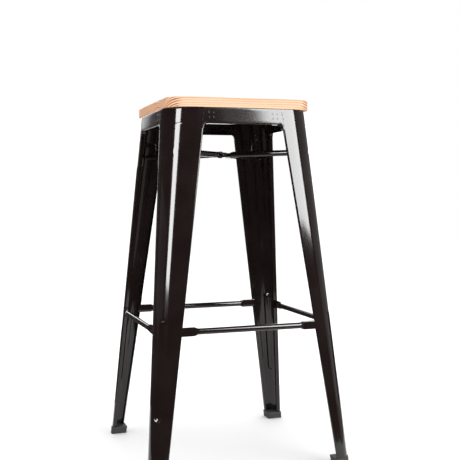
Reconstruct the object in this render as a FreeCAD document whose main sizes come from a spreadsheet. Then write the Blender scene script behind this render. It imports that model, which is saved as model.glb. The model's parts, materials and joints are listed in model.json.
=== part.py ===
"""Bar stool with a footrest: pressed sheet legs, tube rails and brace, edge-glued wooden seat.

Millimetres, +Z up, front at -Y. The origin is the middle of the footprint, on the floor. The four
sides are alike, so every sub-part is drawn once in its own frame and turned about Z into place.
"""

import FreeCAD, Part

import math
import os

import Sketcher
from FreeCAD import Placement, Rotation, Vector

# Driving sizes. Half widths and corner radii "at the floor" are where the straight tapers meet z = 0.
SIZES = {
    # seat
    "total_height": 760.0,
    "seat_side": 310.0,
    "seat_thickness": 20.0,
    "seat_corner": 39.5,
    "seat_roundover": 2.5,
    "board_count": 4.0,
    # tapered sheet frame
    "frame_proud": 0.5,
    "frame_half_floor": 214.5,
    "opening_half_top": 79.4,
    "opening_half_floor": 183.0,
    "corner_radius_top": 63.0,
    "corner_radius_floor": 25.3,
    "sheet": 1.2,
    "lip_depth": 9.0,
    "lip_lean": 2.4,
    # apron strips between the legs
    "apron_depth": 32.7,
    "apron_corner": 9.0,
    "ear_land": 1.5,
    "seam_inset": 4.5,
    "seam_gap": 0.2,
    "tab_length": 38.0,
    "tab_rise": 6.5,
    # pan under the seat
    "pan_skirt": 8.0,
    "pan_fit": 0.15,
    # tubes
    "tube_diameter": 12.7,
    "tube_wall": 1.2,
    "rail_height": 295.0,
    "rail_flat": 3.0,
    "rail_overlap": 6.5,
    "rail_flat_length": 24.0,
    "rail_taper": 9.0,
    "notch_fit": 0.5,
    "notch_relief": 0.02,
    "brace_height": 652.0,
    "brace_flat": 6.2,
    "brace_flat_length": 15.0,
    "brace_taper": 18.0,
    "brace_tab_flat": 3.0,
    "brace_tab_length": 22.0,
    "brace_fit": 0.1,
    # pressed bead down each leg's corner
    "bead_low": 122.0,
    "bead_high": 317.0,
    "bead_radius": 6.5,
    "bead_depth": 3.6,
    # fasteners
    "rivet_radius": 3.0,
    "rivet_head_radius": 5.0,
    "rivet_head": 1.4,
    "screw_radius": 2.0,
    "screw_head_radius": 4.0,
    "screw_head": 2.4,
    "screw_bite": 14.0,
    "screw_inset": 48.0,
    "fastener_fit": 0.1,
    # feet
    "foot_height": 16.0,
    "foot_floor": 4.0,
    "foot_margin": 2.0,
    "foot_fit": 0.1,
}

SIDES = ("front", "right", "back", "left")
CORNERS = ("back_right", "back_left", "front_left", "front_right")

# Share of a half thickness used as corner radius, so that no edge of a round outline vanishes.
NEARLY_ROUND = 0.985


class Size:
    """A length that knows its value and the spreadsheet expression it comes from."""

    def __init__(self, value, text):
        self.value = value
        self.text = text

    @staticmethod
    def of(other):
        return other if isinstance(other, Size) else Size(float(other), repr(float(other)))

    def __add__(self, other):
        other = Size.of(other)
        return Size(self.value + other.value, f"({self.text} + {other.text})")

    def __sub__(self, other):
        other = Size.of(other)
        return Size(self.value - other.value, f"({self.text} - {other.text})")

    def __rsub__(self, other):
        return Size.of(other) - self

    def __mul__(self, other):
        other = Size.of(other)
        return Size(self.value * other.value, f"({self.text} * {other.text})")

    def __truediv__(self, other):
        other = Size.of(other)
        return Size(self.value / other.value, f"({self.text} / {other.text})")

    def __neg__(self):
        return Size(-self.value, f"(0 - {self.text})")

    def root(self):
        return Size(math.sqrt(self.value), f"sqrt({self.text})")


def make_sheet(doc):
    """Write the driving sizes to a spreadsheet and return them as named Size values."""
    sheet = doc.addObject("Spreadsheet::Sheet", "Sizes")
    for row, (alias, value) in enumerate(SIZES.items(), start=1):
        sheet.set(f"A{row}", alias)
        sheet.set(f"B{row}", str(value))
        sheet.setAlias(f"B{row}", alias)
    doc.recompute()
    return {alias: Size(float(sheet.get(alias)), f"Sizes.{alias}") for alias in SIZES}


doc = FreeCAD.newDocument("bar_stool")
size = make_sheet(doc)
ZERO = Size.of(0.0)

sheet = size["sheet"]
frame_top = size["total_height"] - size["seat_thickness"]
apron_bottom = frame_top - size["apron_depth"]
ear_bottom = apron_bottom - size["apron_corner"] - size["ear_land"]

# The frame's top stands just proud of the seat's edge; its side faces lean out from there.
frame_half_top = size["seat_side"] / 2 + size["frame_proud"]
face_slope = (size["frame_half_floor"] - frame_half_top) / frame_top
face_stretch = (face_slope * face_slope + 1).root()
FACE_ANGLE = math.degrees(math.atan(face_slope.value))


def tapered(low, high, height):
    """Value at a height on the straight line from low at the floor to high at the frame's top."""
    return low + (high - low) * height / frame_top


def half_width(height):
    return tapered(size["frame_half_floor"], frame_half_top, height)


def opening_half(height):
    return tapered(size["opening_half_floor"], size["opening_half_top"], height)


def corner_radius(height):
    return tapered(size["corner_radius_floor"], size["corner_radius_top"], height)


def flattened_width(thickness):
    """Width of the tube once pressed to a thickness, its girth kept."""
    return thickness + (size["tube_diameter"] - thickness) * (math.pi / 2)


# ---------------------------------------------------------------- sketches and features


def new_body(name):
    body = doc.addObject("PartDesign::Body", name)
    body.Label = name
    return body


def origin_feature(body, role):
    return next(item for item in body.Origin.OriginFeatures if item.Role == role)


def bind(sketch, kind, geometry, size_value):
    """Add a signed X or Y distance, or a radius, and tie it to the spreadsheet."""
    index = sketch.addConstraint(Sketcher.Constraint(kind, *geometry, size_value.value))
    sketch.setExpression(f"Constraints[{index}]", size_value.text)


def pin_point(sketch, edge, end, x, y):
    bind(sketch, "DistanceX", (-1, 1, edge, end), x)
    bind(sketch, "DistanceY", (-1, 1, edge, end), y)


def new_sketch(body, name, plane, offset):
    """Sketch on one of the body's origin planes, raised along the plane's normal by offset."""
    sketch = body.newObject("Sketcher::SketchObject", name)
    sketch.AttachmentSupport = [(origin_feature(body, plane), "")]
    sketch.MapMode = "FlatFace"
    sketch.AttachmentOffset = Placement(Vector(0, 0, offset.value), Rotation())
    sketch.setExpression("AttachmentOffset.Base.z", offset.text)
    return sketch


def outline(body, name, corners, plane="XY_Plane", offset=ZERO):
    """Closed sketch of straight sides through corners (x, y, radius), radius None where sharp."""
    sketch = new_sketch(body, name, plane, offset)
    corners = [(Size.of(x), Size.of(y), radius) for x, y, radius in corners]
    count = len(corners)
    spots = [Vector(x.value, y.value, 0) for x, y, _ in corners]
    ways = [(spots[(i + 1) % count] - spots[i]).normalize() for i in range(count)]

    def trim(i):
        """Length of side that the rounding of corner i takes away."""
        radius = corners[i % count][2]
        turn = ways[i - 1].getAngle(ways[i % count])
        return 0.0 if radius is None else radius.value * math.tan(turn / 2)

    sides = []
    for i in range(count):
        start = spots[i] + ways[i] * trim(i)
        finish = spots[(i + 1) % count] - ways[i] * trim(i + 1)
        sides.append(sketch.addGeometry(Part.LineSegment(start, finish)))
    for i, (x, y, radius) in enumerate(corners):
        if radius is None:
            pin_point(sketch, sides[i], 1, x, y)
            sketch.addConstraint(Sketcher.Constraint("Coincident", sides[i - 1], 2, sides[i], 1))
        else:
            turning = (ways[i - 1], ways[i])
            add_round_corner(sketch, (sides[i - 1], sides[i]), corners[i], turning, trim(i))
    return sketch


def add_round_corner(sketch, sides, corner, ways, trim):
    """Arc tangent to two sides that meet, if run on, at the corner's own point."""
    x, y, radius = corner
    spot = Vector(x.value, y.value, 0)
    point = sketch.addGeometry(Part.Point(spot), True)
    pin_point(sketch, point, 1, x, y)
    for side in sides:
        sketch.addConstraint(Sketcher.Constraint("PointOnObject", point, 1, side))
    first, last = spot - ways[0] * trim, spot + ways[1] * trim
    left = ways[0].cross(ways[1]).z > 0
    sideways = Vector(-ways[0].y, ways[0].x, 0) * (1 if left else -1)
    centre = first + sideways * radius.value
    ends = (first, last) if left else (last, first)
    angles = [math.atan2(end.y - centre.y, end.x - centre.x) for end in ends]
    arc = Part.ArcOfCircle(Part.Circle(centre, Vector(0, 0, 1), radius.value), *angles)
    edge = sketch.addGeometry(arc)
    first_end, last_end = (1, 2) if left else (2, 1)
    sketch.addConstraint(Sketcher.Constraint("Tangent", sides[0], 2, edge, first_end))
    sketch.addConstraint(Sketcher.Constraint("Tangent", sides[1], 1, edge, last_end))
    bind(sketch, "Radius", (edge,), radius)


def circles(body, name, centres, radius, plane="XY_Plane", offset=ZERO):
    """Sketch of equal circles."""
    sketch = new_sketch(body, name, plane, offset)
    for x, y in centres:
        edge = sketch.addGeometry(Part.Circle(Vector(x.value, y.value, 0), Vector(0, 0, 1), radius.value))
        pin_point(sketch, edge, 3, x, y)
        bind(sketch, "Radius", (edge,), radius)
    return sketch


def loft(body, name, sketches, kind="Additive"):
    """Straight-sided loft through sketches that have matching edges."""
    feature = body.newObject(f"PartDesign::{kind}Loft", name)
    feature.Profile = sketches[0]
    feature.Sections = sketches[1:]
    feature.Ruled = True
    return feature


def pad(body, name, sketch, length, kind="Pad", reverse=False):
    feature = body.newObject(f"PartDesign::{kind}", name)
    feature.Profile = sketch
    feature.Length = length.value
    feature.setExpression("Length", length.text)
    feature.Reversed = reverse
    return feature


def turned(name, corners, placement):
    """Body turned about Z from an outline in its XZ plane."""
    body = new_body(name)
    profile = outline(body, f"{name}_profile", corners, "XZ_Plane")
    revolution = body.newObject("PartDesign::Revolution", f"{name}_turn")
    revolution.Profile = profile
    revolution.ReferenceAxis = (profile, ["V_Axis"])
    revolution.Angle = 360.0
    body.Placement = placement
    return body


def group(name, bodies):
    """Identical fasteners as one node of separate solids."""
    compound = doc.addObject("Part::Compound", name)
    compound.Label = name
    compound.Links = bodies
    return compound


def boolean(kind, name, base, tool):
    feature = doc.addObject(f"Part::{kind}", name)
    feature.Label = name
    feature.Base = base
    feature.Tool = tool
    return feature


def about_z(quarter_turns):
    return Placement(Vector(), Rotation(Vector(0, 0, 1), 90 * quarter_turns))


def shift(x, y, z):
    return Placement(Vector(x, y, z), Rotation())


def tilt(axis, angle):
    return Placement(Vector(), Rotation(axis, angle))


# ---------------------------------------------------------------- seat


def seat_screw_places():
    """Two screws in each board, on its middle line."""
    count = round(size["board_count"].value)
    board = size["seat_side"] / size["board_count"]
    reach = size["seat_side"] / 2 - size["screw_inset"]
    places = []
    for index in range(count):
        middle = board * (index + 0.5) - size["seat_side"] / 2
        places += [(-reach, middle), (reach, middle)]
    return places


def rounded_square(half, radius):
    return [(-half, -half, radius), (half, -half, radius), (half, half, radius), (-half, half, radius)]


def make_seat_boards():
    """Edge-glued boards: one rounded blank, cut into strips that run along X."""
    blank = new_body("seat_blank")
    square = rounded_square(size["seat_side"] / 2, size["seat_corner"])
    plan = outline(blank, "seat_plan", square, offset=frame_top)
    slab = pad(blank, "seat_slab", plan, size["seat_thickness"])
    doc.recompute()
    heights = (frame_top.value, size["total_height"].value)
    rims = []
    for index, edge in enumerate(slab.Shape.Edges, start=1):
        box = edge.BoundBox
        if box.ZLength < 1e-6 and min(abs(box.ZMin - height) for height in heights) < 1e-6:
            rims.append(f"Edge{index}")
    roundover = blank.newObject("PartDesign::Fillet", "seat_rim")
    roundover.Base = (slab, rims)
    roundover.setExpression("Radius", size["seat_roundover"].text)
    pilots = circles(blank, "seat_pilots", seat_screw_places(), size["screw_radius"], offset=frame_top)
    pad(blank, "seat_pilot_holes", pilots, size["screw_bite"], "Pocket", reverse=True)

    boards = []
    width = size["seat_side"] / size["board_count"]
    for index in range(round(size["board_count"].value)):
        strip = doc.addObject("Part::Box", f"board_strip_{index + 1}")
        strip.setExpression("Length", size["seat_side"].text)
        strip.setExpression("Width", width.text)
        strip.setExpression("Height", size["seat_thickness"].text)
        strip.setExpression("Placement.Base.x", (-size["seat_side"] / 2).text)
        strip.setExpression("Placement.Base.y", (width * index - size["seat_side"] / 2).text)
        strip.setExpression("Placement.Base.z", frame_top.text)
        boards.append(boolean("Common", f"seat_board_{index + 1}", blank, strip))
    return boards


def make_seat_pan():
    """Sheet pan with a turned-down skirt that follows the taper of the frame."""
    body = new_body("seat_pan")
    skirt_bottom = frame_top - size["pan_skirt"]

    def ring(name, height, inset):
        square = rounded_square(half_width(height) - inset, corner_radius(height) - inset)
        return outline(body, name, square, offset=height)

    outside = sheet + size["pan_fit"]
    inside = outside + sheet
    loft(body, "pan_block", [ring("pan_low", skirt_bottom, outside), ring("pan_high", frame_top, outside)])
    below = skirt_bottom - 1
    hollow_top = frame_top - sheet
    loft(body, "pan_hollow", [ring("hollow_low", below, inside), ring("hollow_high", hollow_top, inside)],
         "Subtractive")
    hole = size["screw_radius"] + size["fastener_fit"]
    holes = circles(body, "pan_holes", seat_screw_places(), hole, offset=frame_top)
    pad(body, "pan_screw_holes", holes, sheet * 2, "Pocket")
    return body


def make_seat_screws():
    """Pan-head screws from below, through the pan into the boards."""
    seat_face = frame_top - sheet
    bottom = -size["screw_head"]
    top = sheet + size["screw_bite"]
    profile = [
        (0, bottom, None),
        (size["screw_head_radius"], bottom, size["screw_head"] * 0.6),
        (size["screw_head_radius"], 0, None),
        (size["screw_radius"], 0, None),
        (size["screw_radius"], top, size["screw_radius"] * 0.5),
        (0, top, None),
    ]
    bodies = []
    for index, (x, y) in enumerate(seat_screw_places(), start=1):
        place = shift(x.value, y.value, seat_face.value)
        bodies.append(turned(f"seat_screw_{index}", profile, place))
    return group("seat_screws", bodies)


# ---------------------------------------------------------------- legs


def leg_section(body, name, height, grow=ZERO):
    """L section with a rounded corner and an inward lip, folded past square, along each free edge."""
    edge = opening_half(height) - grow
    inner_edge = opening_half(height) + sheet + grow
    outer = half_width(height) + grow
    inner = half_width(height) - sheet - grow
    lip = half_width(height) - size["lip_depth"] - grow
    radius = corner_radius(height)
    lean = size["lip_lean"]
    corners = [
        (edge + lean, lip, None), (inner_edge + lean, lip, None), (inner_edge, inner, None),
        (inner, inner, radius - sheet - grow),
        (inner, inner_edge, None), (lip, inner_edge + lean, None), (lip, edge + lean, None),
        (outer, edge, None),
        (outer, outer, radius + grow),
        (edge, outer, None),
    ]
    return outline(body, name, corners, offset=height)


def plain_section(body, name, height):
    """L section without lips, cut back to the seam where the apron strips meet the leg."""
    edge = opening_half(height) + size["seam_inset"]
    outer = half_width(height)
    inner = outer - sheet
    radius = corner_radius(height)
    corners = [
        (edge, inner, None), (inner, inner, radius - sheet), (inner, edge, None),
        (outer, edge, None), (outer, outer, radius), (edge, outer, None),
    ]
    return outline(body, name, corners, offset=height)


def tab_section(body, name, height, swap):
    """Weld tab that reaches behind an apron strip, and into the leg's own sheet at its root."""
    seam = opening_half(height) + size["seam_inset"]
    start = seam - size["tab_length"]
    finish = seam + size["seam_inset"] * 2
    high = half_width(height) - sheet * face_stretch
    low = high - sheet
    root = half_width(height) - sheet / 2
    corners = [(start, low, None), (finish, low, None), (finish, root, None), (seam, root, None),
               (seam, high, None), (start, high, None)]
    if swap:
        corners = [(y, x, radius) for x, y, radius in corners]
    return outline(body, name, corners, offset=height)


def diagonal_reach(height, inset):
    """Distance along the diagonal from the stool's axis to the leg's corner, less an inset."""
    return half_width(height) * math.sqrt(2) - corner_radius(height) * (math.sqrt(2) - 1) - inset


CORNER_SLOPE = (diagonal_reach(ZERO, 0.0).value - diagonal_reach(frame_top, 0.0).value) / frame_top.value
CORNER_ANGLE = math.degrees(math.atan(CORNER_SLOPE))


def corner_frame(height, inset):
    """Placement on the leg's corner line: local X points outwards from it, local Z up it."""
    on_line = about_z(0.5) * shift(diagonal_reach(height, inset).value, 0, height.value)
    return on_line * tilt(Vector(0, 1, 0), -CORNER_ANGLE)


def cut_box(body, name, sizes, placement):
    box = body.newObject("PartDesign::SubtractiveBox", name)
    for side, value in zip(("Length", "Width", "Height"), sizes):
        box.setExpression(side, value.text)
    box.Placement = placement
    return box


def cut_rail_notches(body, name):
    """Open notches in the lips, where the pressed ends of the footrest rails pass behind the flange."""
    height = size["rail_height"].value
    length = sheet * 3 + size["lip_lean"]
    depth = size["lip_depth"] + sheet
    tall = flattened_width(size["rail_flat"]) + size["notch_fit"] * 2
    start = opening_half(size["rail_height"]).value - sheet.value
    face = half_width(size["rail_height"]).value
    gap = (sheet - size["notch_relief"]).value
    in_frame = shift(0, -gap - depth.value, -tall.value / 2)
    along_x = shift(start, face, height) * tilt(Vector(1, 0, 0), FACE_ANGLE) * in_frame
    cut_box(body, f"{name}_notch_x", (length, depth, tall), along_x)
    in_frame = shift(-gap - depth.value, 0, -tall.value / 2)
    along_y = shift(face, start, height) * tilt(Vector(0, 1, 0), -FACE_ANGLE) * in_frame
    cut_box(body, f"{name}_notch_y", (depth, length, tall), along_y)


def bead_tool(name, radius):
    """Round-ended bar along the leg's corner line, for the pressed bead."""
    middle = (size["bead_low"] + size["bead_high"]) / 2
    outside = size["bead_depth"] - size["bead_radius"]
    half = (size["bead_high"] - size["bead_low"]) / 2 - size["bead_radius"] + radius
    end = radius * NEARLY_ROUND
    profile = [(0, -half, None), (radius, -half, end), (radius, half, end), (0, half, None)]
    return turned(name, profile, corner_frame(middle, outside))


def bead_block(name):
    """Solid that fills the leg's corner up to the middle of its sheet."""
    body = new_body(name)

    def filled(label, height):
        outer = half_width(height) - sheet / 2
        inner = opening_half(height) + sheet * 4
        radius = corner_radius(height) - sheet / 2
        corners = [(inner, inner, None), (outer, inner, None), (outer, outer, radius), (inner, outer, None)]
        return outline(body, label, corners, offset=height)

    margin = size["bead_radius"] * 2
    low = filled(f"{name}_low", size["bead_low"] - margin)
    high = filled(f"{name}_high", size["bead_high"] + margin)
    loft(body, f"{name}_fill", [low, high])
    return body


def make_leg(index):
    """Pressed leg in the back-right quadrant's frame, turned to its own corner."""
    name = f"leg_{CORNERS[index]}"
    body = new_body(f"{name}_sheet")
    foot_face = size["foot_floor"]
    loft(body, f"{name}_lower", [leg_section(body, f"{name}_s0", foot_face),
                                 leg_section(body, f"{name}_s1", ear_bottom)])
    loft(body, f"{name}_upper", [plain_section(body, f"{name}_s2", ear_bottom),
                                 plain_section(body, f"{name}_s3", frame_top)])
    tab_low = apron_bottom + size["tab_rise"]
    tab_high = frame_top - size["pan_skirt"] - sheet
    for swap in (False, True):
        mark = "y" if swap else "x"
        loft(body, f"{name}_tab_{mark}", [tab_section(body, f"{name}_t0{mark}", tab_low, swap),
                                          tab_section(body, f"{name}_t1{mark}", tab_high, swap)])
    cut_rail_notches(body, name)
    ridge = boolean("Common", f"{name}_ridge", bead_block(f"{name}_block"),
                    bead_tool(f"{name}_bead_outer", size["bead_radius"] + sheet))
    backed = boolean("Fuse", f"{name}_backed", body, ridge)
    leg = boolean("Cut", name, backed, bead_tool(f"{name}_bead_inner", size["bead_radius"]))
    leg.Placement = about_z(index)
    return leg


# ---------------------------------------------------------------- apron


def apron_outline(body, name, inset, past, offset):
    """Strip with an ear at each end, so that the opening's top corners are round.

    An inset moves the lower edge up into the strip, and past runs its ends and top further out.
    """
    def down(height):
        return (height - frame_top) * face_stretch

    seam = size["seam_inset"] - size["seam_gap"] + past
    seam_top = opening_half(frame_top) + seam
    seam_low = opening_half(ear_bottom) + seam
    ear_edge = opening_half(ear_bottom) + inset
    edge = opening_half(apron_bottom) + inset
    bottom = down(apron_bottom) + inset
    ear = down(ear_bottom) + size["seam_gap"] - past
    corner = size["apron_corner"] + inset
    corners = [
        (-seam_low, ear, None), (-ear_edge, ear, None), (-edge, bottom, corner), (edge, bottom, corner),
        (ear_edge, ear, None), (seam_low, ear, None), (seam_top, past, None), (-seam_top, past, None),
    ]
    return outline(body, name, corners, "XZ_Plane", offset)


def side_placement(index, height):
    """Frame on a side's outer face at a height: X along the side, Y inwards, Z up the lean."""
    out = half_width(height).value
    return about_z(index) * shift(0, -out, height.value) * tilt(Vector(1, 0, 0), -FACE_ANGLE)


def make_apron(index):
    """Strip between two legs, with its lower edge turned in as a lip."""
    name = f"apron_{SIDES[index]}"
    body = new_body(name)
    strip = apron_outline(body, f"{name}_plan", ZERO, ZERO, ZERO)
    pad(body, f"{name}_strip", strip, size["lip_depth"], reverse=True)
    behind = apron_outline(body, f"{name}_behind", sheet, sheet * 3, -sheet)
    pad(body, f"{name}_trim", behind, size["lip_depth"] * 2, "Pocket")
    body.Placement = side_placement(index, frame_top)
    return body


# ---------------------------------------------------------------- tubes


def tube_section(body, name, place, across, tall, centre_z=ZERO):
    """Outline of the tube at one place along X: across in Y, tall in Z."""
    thin = across if across.value < tall.value else tall
    radius = thin * (NEARLY_ROUND / 2)
    low = centre_z - tall / 2
    high = centre_z + tall / 2
    corners = [(-across / 2, low, radius), (across / 2, low, radius),
               (across / 2, high, radius), (-across / 2, high, radius)]
    return outline(body, name, corners, "YZ_Plane", place)


def make_rail(index):
    """Footrest rail: a tube with both ends pressed flat and tucked behind the leg flanges."""
    name = f"footrest_{SIDES[index]}"
    body = new_body(name)
    flat = size["rail_flat"]
    wide = flattened_width(flat)
    inner = size["tube_diameter"] - size["tube_wall"] * 2
    end = opening_half(size["rail_height"]) + size["rail_overlap"]
    flat_start = opening_half(size["rail_height"]) - size["rail_flat_length"]
    round_start = flat_start - size["rail_taper"]

    def pressed(label, place):
        return tube_section(body, f"{name}_{label}", place, flat, wide)

    def full(label, place, diameter):
        return tube_section(body, f"{name}_{label}", place, diameter, diameter)

    outside = [pressed("a", -end), pressed("b", -flat_start),
               full("c", -round_start, size["tube_diameter"]),
               full("d", round_start, size["tube_diameter"]), pressed("e", flat_start), pressed("f", end)]
    loft(body, f"{name}_tube", outside)
    loft(body, f"{name}_bore", [full("g", -round_start, inner), full("h", round_start, inner)],
         "Subtractive")
    inwards = (sheet + flat / 2).value
    body.Placement = side_placement(index, size["rail_height"]) * shift(0, inwards, 0)
    return body


def tab_hollow():
    """Gap between a flat end tab's middle and the leg's rounded corner when the tab's edges touch."""
    bend = corner_radius(size["brace_height"]) - sheet
    half = flattened_width(size["brace_tab_flat"]) / 2
    return bend - (bend * bend - half * half).root()


def brace_end():
    """Distance along the diagonal to the outer face of a brace bar's end tab, at the tab's top."""
    tab_top = size["brace_height"] + size["brace_tab_flat"] / 2
    return diagonal_reach(tab_top, sheet) - tab_hollow() - size["brace_fit"]


def tab_frame():
    """Placement on the outer face of a bar's end tab at its top, in the bar's frame: Z up the tab."""
    top = shift(brace_end().value, 0, size["brace_tab_flat"].value / 2)
    return top * tilt(Vector(0, 1, 0), -CORNER_ANGLE)


def make_brace(index):
    """Diagonal tube, pressed flat where it crosses the other one, its flat ends turned down as tabs."""
    name = f"brace_bar_{('upper', 'lower')[index]}"
    body = new_body(name)
    tube = size["tube_diameter"]
    flat = size["brace_flat"]
    wide = flattened_width(flat)
    tab = size["brace_tab_flat"]
    tab_wide = flattened_width(tab)
    middle = (flat / 2 + size["brace_fit"] / 2) * (1 - 2 * index)
    end = brace_end()
    tab_start = end - tab * 2
    round_end = tab_start - size["brace_taper"]
    round_start = size["brace_flat_length"] + size["brace_taper"]

    def half(mark, sign):
        return [
            tube_section(body, f"{name}_{mark}1", size["brace_flat_length"] * sign, wide, flat, middle),
            tube_section(body, f"{name}_{mark}2", round_start * sign, tube, tube),
            tube_section(body, f"{name}_{mark}3", round_end * sign, tube, tube),
            tube_section(body, f"{name}_{mark}4", tab_start * sign, tab_wide, tab),
            tube_section(body, f"{name}_{mark}5", end * sign, tab_wide, tab),
        ]

    loft(body, f"{name}_tube", half("n", -1)[::-1] + half("p", 1))
    for facing, mark in ((about_z(0), "p"), (about_z(2), "n")):
        turned_down = body.newObject("PartDesign::AdditiveBox", f"{name}_tab_{mark}")
        turned_down.setExpression("Length", tab.text)
        turned_down.setExpression("Width", tab_wide.text)
        turned_down.setExpression("Height", size["brace_tab_length"].text)
        corner = shift(-tab.value, -tab_wide.value / 2, -size["brace_tab_length"].value)
        turned_down.Placement = facing * tab_frame() * corner
    centre = circles(body, f"{name}_centre", [(ZERO, ZERO)], size["rivet_radius"] + size["fastener_fit"],
                     offset=-tube * 2)
    pad(body, f"{name}_centre_hole", centre, tube * 4, "Pocket", reverse=True)
    body.Placement = shift(0, 0, size["brace_height"].value) * about_z(index + 0.5)
    return body


def rivet_profile(grip):
    """Rivet along Z: its grip from z = 0 upwards, a low dome at each end."""
    head = size["rivet_head"]
    wide = size["rivet_head_radius"]
    dome = head * 0.9
    return [
        (0, -head, None), (wide, -head, dome), (wide, 0, None), (size["rivet_radius"], 0, None),
        (size["rivet_radius"], grip, None), (wide, grip, None), (wide, grip + head, dome),
        (0, grip + head, None),
    ]


def make_centre_rivet():
    grip = size["brace_flat"] * 2 + size["brace_fit"] * 3
    place = shift(0, 0, (size["brace_height"] - grip / 2).value)
    return turned("brace_centre_rivet", rivet_profile(grip), place)


# ---------------------------------------------------------------- feet


def make_foot(index):
    """Rubber foot: a block that follows the leg's corner, grooved to take the leg's lower edge."""
    name = f"foot_{CORNERS[index]}"
    body = new_body(name)
    margin = size["foot_margin"]

    def block(label, height):
        outer = half_width(height) + margin
        inner = opening_half(height) - margin
        radius = corner_radius(height) + margin
        corners = [(inner, inner, margin), (outer, inner, margin), (outer, outer, radius),
                   (inner, outer, margin)]
        return outline(body, label, corners, offset=height)

    loft(body, f"{name}_block", [block(f"{name}_b0", ZERO), block(f"{name}_b1", size["foot_height"])])
    groove_top = size["foot_height"] + margin
    loft(body, f"{name}_groove", [leg_section(body, f"{name}_g0", size["foot_floor"], size["foot_fit"]),
                                  leg_section(body, f"{name}_g1", groove_top, size["foot_fit"])],
         "Subtractive")
    body.Placement = about_z(index)
    return body


# ---------------------------------------------------------------- assembly and output


def make_stool():
    nodes = make_seat_boards()
    nodes += [make_seat_pan(), make_seat_screws()]
    for index in range(4):
        nodes += [make_leg(index), make_apron(index), make_rail(index), make_foot(index)]
    nodes += [make_brace(0), make_brace(1), make_centre_rivet()]
    return nodes


def check_document(nodes):
    """Stop before anything is written if a feature failed or a node's shape is not sound."""
    for item in doc.Objects:
        if {"Invalid", "Error"} & set(item.State):
            raise RuntimeError(f"{item.Name} failed: {item.State}")
    for node in nodes:
        if node.Shape.isNull() or not node.Shape.isValid() or not node.Shape.Solids:
            raise RuntimeError(f"{node.Label} has no sound shape")


def main():
    nodes = make_stool()
    doc.recompute()
    check_document(nodes)
    os.makedirs("parts", exist_ok=True)
    for node in nodes:
        node.Shape.exportStep(f"parts/{node.Label}.step")
        print(f"{node.Label}: {len(node.Shape.Solids)} solid(s), {node.Shape.Volume / 1000:.2f} cm3")


main()
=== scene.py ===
"""Looks of a bar stool with a footrest: glossy black sheet frame, tube rails and a wooden seat.

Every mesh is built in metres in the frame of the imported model, +Z up, front at -Y. The four sides are
alike, so a piece is drawn once in its own frame and turned about Z into place.
"""

from __future__ import annotations

import json
import logging
import math
from dataclasses import dataclass
from enum import Enum
from functools import cached_property
from typing import Any, Iterable, Sequence

import bmesh
import bpy
from mathutils import Matrix, Vector

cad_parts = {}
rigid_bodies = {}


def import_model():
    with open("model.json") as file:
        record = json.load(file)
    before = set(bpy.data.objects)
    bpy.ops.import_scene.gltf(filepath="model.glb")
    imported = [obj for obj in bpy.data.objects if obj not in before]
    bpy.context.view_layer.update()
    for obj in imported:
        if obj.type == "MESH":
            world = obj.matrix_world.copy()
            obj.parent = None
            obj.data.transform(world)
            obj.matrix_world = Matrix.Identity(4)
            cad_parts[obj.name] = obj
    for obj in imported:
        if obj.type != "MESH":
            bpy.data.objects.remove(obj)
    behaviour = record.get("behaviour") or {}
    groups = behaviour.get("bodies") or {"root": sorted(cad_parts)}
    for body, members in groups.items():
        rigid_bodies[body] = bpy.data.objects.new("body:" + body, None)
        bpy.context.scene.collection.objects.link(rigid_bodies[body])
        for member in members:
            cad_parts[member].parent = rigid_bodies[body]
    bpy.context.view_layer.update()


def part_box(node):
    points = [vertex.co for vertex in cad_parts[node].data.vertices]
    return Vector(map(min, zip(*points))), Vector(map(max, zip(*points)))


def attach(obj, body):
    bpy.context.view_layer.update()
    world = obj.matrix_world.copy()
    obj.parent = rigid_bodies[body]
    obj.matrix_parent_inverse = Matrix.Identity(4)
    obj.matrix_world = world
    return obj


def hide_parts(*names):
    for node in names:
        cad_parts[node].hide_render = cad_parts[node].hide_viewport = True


MM = 0.001
LOG = logging.getLogger("bar_stool")

NEAR = 0.001 * MM
RIGHT_ANGLE = math.pi / 2

Point = tuple[float, float]
Colour = tuple[float, float, float]
Row = list[Vector]


class Side(Enum):
    """The stool's four sides, as quarter turns about Z from the front."""

    FRONT = 0
    RIGHT = 1
    BACK = 2
    LEFT = 3


class Corner(Enum):
    """The stool's four legs, as quarter turns about Z from the back right."""

    BACK_RIGHT = 0
    BACK_LEFT = 1
    FRONT_LEFT = 2
    FRONT_RIGHT = 3


# ------------------------------------------------------------------ numbers and meshes


def smooth_step(low: float, high: float, value: float) -> float:
    """Ease from 0 at low to 1 at high.

    Args:
        low: Value where the result leaves 0.
        high: Value where the result reaches 1.
        value: Value to ease.

    Returns:
        A number from 0 to 1.
    """
    share = min(max((value - low) / (high - low), 0.0), 1.0)
    return share * share * (3.0 - 2.0 * share)


def dome(distance: float, reach: float) -> float:
    """Height of a soft round bump, 1 in its middle and 0 from reach outwards."""
    return 0.5 + 0.5 * math.cos(math.pi * min(abs(distance) / reach, 1.0))


def spread(low: float, high: float, count: int) -> list[float]:
    """Evenly spaced values, count steps, both ends included."""
    return [low + (high - low) * i / count for i in range(count + 1)]


def quarter_turns(turns: float) -> Matrix:
    """Turn about Z by a number of right angles."""
    return Matrix.Rotation(RIGHT_ANGLE * turns, 4, "Z")


def quarter_arc(centre: Point, radius: float, start: float, steps: int) -> list[Point]:
    """Points of a quarter circle, counter-clockwise.

    Args:
        centre: Its centre.
        radius: Its radius.
        start: The angle of its first point.
        steps: Number of steps along it.

    Returns:
        The points, both ends included.
    """
    return [(centre[0] + radius * math.cos(angle), centre[1] + radius * math.sin(angle))
            for angle in spread(start, start + RIGHT_ANGLE, steps)]


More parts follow.
